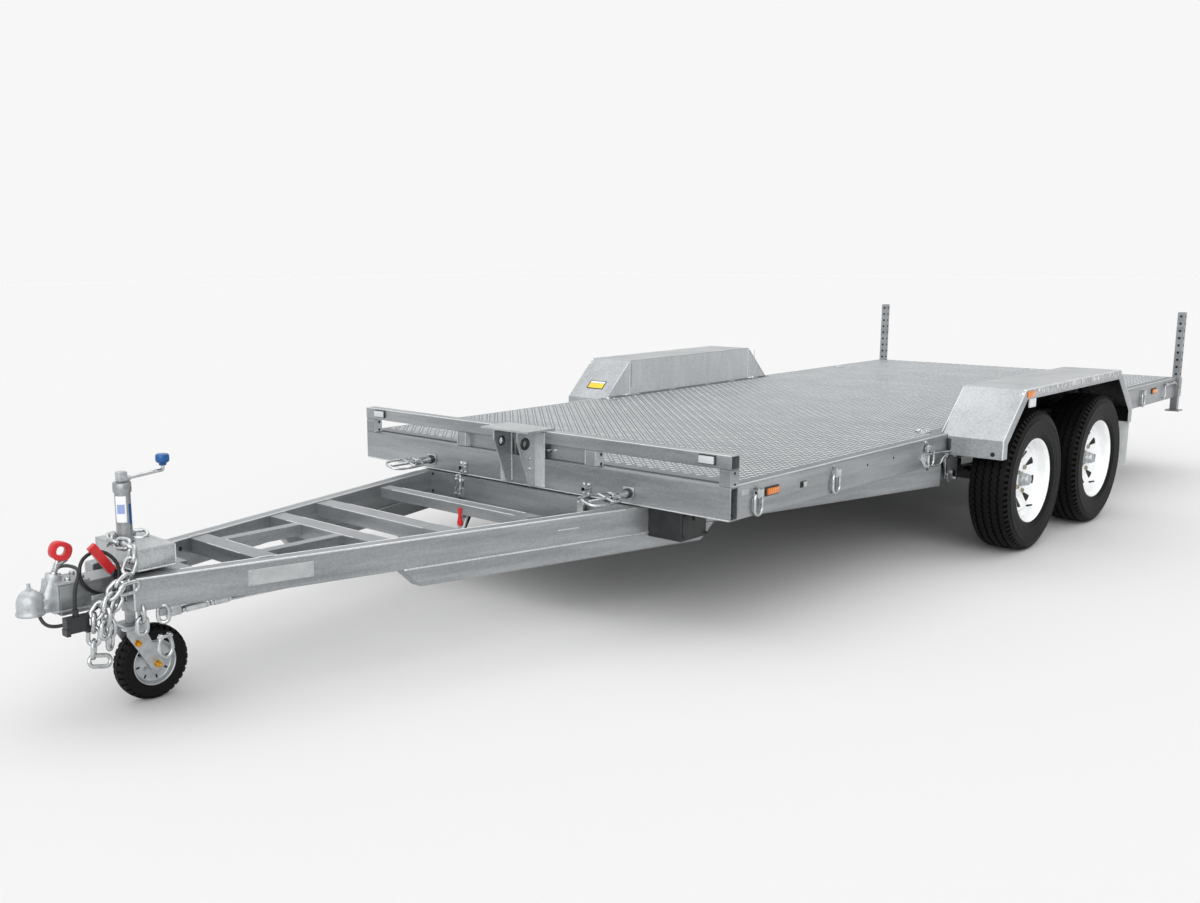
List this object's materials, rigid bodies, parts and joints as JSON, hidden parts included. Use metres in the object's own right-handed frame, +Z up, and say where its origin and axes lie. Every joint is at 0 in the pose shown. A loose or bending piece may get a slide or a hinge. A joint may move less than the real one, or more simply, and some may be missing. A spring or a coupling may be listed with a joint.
{
  "type": "tilt-bed tandem-axle car trailer",
  "caption": "Galvanised tilt-bed car trailer: checker-plate deck hinged over an A-frame drawbar, close-set wheel pairs under folded fenders, headboard, jockey stand and drop legs.",
  "frame": {"origin": "on the ground under the middle of the trailer's overall length and width", "axes": "+X forward to the coupling, +Y to the trailer's left, +Z up"},
  "size_m": [7.0294, 2.524, 0.97],
  "materials": {
    "galvanised": "hot-dip galvanised, weathered bright",
    "checker_plate": "galvanised raised-pattern plate",
    "bright_zinc": "bright zinc plated",
    "silver_cast": "silver painted casting",
    "red_plastic": "moulded red",
    "blue_plastic": "moulded blue",
    "yellow_zinc": "yellow zinc plated",
    "black_plastic": "black moulded",
    "cable_sheath": "black cable sheath",
    "tyre_rubber": "black tyre rubber",
    "white_paint": "white powder coat",
    "black_steel": "black painted running gear",
    "amber_lens": "amber lens",
    "red_lens": "red lens",
    "flap_plastic": "light grey flexible sheet"
  },
  "bodies": {
    "drawbar": {"a_frame_beams": "galvanised", "lower_rails": "galvanised", "cross_members": "galvanised", "tongue": "galvanised", "nose_plates": "galvanised", "hinge_pins": "bright_zinc", "coupling": "silver_cast", "coupling_handle": "red_plastic", "handbrake_lever": "bright_zinc", "handbrake_grip": "red_plastic", "jockey_outer_tube": "galvanised", "jockey_crank": "bright_zinc", "crank_knob": "blue_plastic", "toggle_latches": "bright_zinc", "plug_lead": "cable_sheath", "lead_gland": "black_plastic", "plug": "black_plastic", "safety_chains": "bright_zinc", "brake_rod": "bright_zinc", "battery_box": "black_plastic"},
    "deck": {"deck_rails": "galvanised", "floor_joists": "galvanised", "deck_floor": "checker_plate", "headboard": "galvanised", "winch_bracket": "galvanised", "latch_keepers": "bright_zinc", "locking_pins": "bright_zinc", "tie_downs": "bright_zinc", "hinge_plates": "galvanised", "fender_left": "galvanised", "fender_right": "galvanised", "mudflaps": "flap_plastic", "axles": "black_steel", "leaf_springs": "black_steel", "spring_hangers": "galvanised", "leg_sockets": "galvanised", "marker_lamps": "amber_lens", "tail_lamps": "red_lens"},
    "jockey_leg": {"jockey_stem": "galvanised"},
    "jockey_caster": {"jockey_fork": "galvanised", "jockey_axle": "yellow_zinc"},
    "jockey_wheel": {"jockey_rim": "bright_zinc", "jockey_tyre": "tyre_rubber"},
    "leg_left": {"rear_leg_left": "galvanised"},
    "leg_right": {"rear_leg_right": "galvanised"},
    "wheel_front_left": {"rim_front_left": "white_paint", "hub_front_left": "black_steel", "tyre_front_left": "tyre_rubber"},
    "wheel_front_right": {"rim_front_right": "white_paint", "hub_front_right": "black_steel", "tyre_front_right": "tyre_rubber"},
    "wheel_rear_left": {"rim_rear_left": "white_paint", "hub_rear_left": "black_steel", "tyre_rear_left": "tyre_rubber"},
    "wheel_rear_right": {"rim_rear_right": "white_paint", "hub_rear_right": "black_steel", "tyre_rear_right": "tyre_rubber"}
  },
  "joints": [
    {"name": "deck_tilt", "type": "hinge", "parent": "drawbar", "child": "deck", "pos_m": [-0.28935, 0, 0.385], "axis": [0, -1, 0], "range_deg": [0, 13]},
    {"name": "jockey_extend", "type": "slide", "parent": "drawbar", "child": "jockey_leg", "axis": [0, 0, -1], "range_m": [-0.035, 0.2]},
    {"name": "jockey_swivel", "type": "hinge", "parent": "jockey_leg", "child": "jockey_caster", "pos_m": [3.16765, 0, 0.25], "axis": [0, 0, 1], "continuous": true},
    {"name": "jockey_roll", "type": "hinge", "parent": "jockey_caster", "child": "jockey_wheel", "pos_m": [3.10765, 0, 0.12], "axis": [0, 1, 0], "continuous": true},
    {"name": "leg_left_drop", "type": "slide", "parent": "deck", "child": "leg_left", "axis": [0, 0, -1], "range_m": [0, 0.34]},
    {"name": "leg_right_drop", "type": "slide", "parent": "deck", "child": "leg_right", "axis": [0, 0, -1], "range_m": [0, 0.34]},
    {"name": "wheel_front_left_roll", "type": "hinge", "parent": "deck", "child": "wheel_front_left", "pos_m": [-0.65935, 1.146, 0.325], "axis": [0, 1, 0], "continuous": true},
    {"name": "wheel_front_right_roll", "type": "hinge", "parent": "deck", "child": "wheel_front_right", "pos_m": [-0.65935, -1.146, 0.325], "axis": [0, 1, 0], "continuous": true},
    {"name": "wheel_rear_left_roll", "type": "hinge", "parent": "deck", "child": "wheel_rear_left", "pos_m": [-1.45935, 1.146, 0.325], "axis": [0, 1, 0], "continuous": true},
    {"name": "wheel_rear_right_roll", "type": "hinge", "parent": "deck", "child": "wheel_rear_right", "pos_m": [-1.45935, -1.146, 0.325], "axis": [0, 1, 0], "continuous": true}
  ]
}
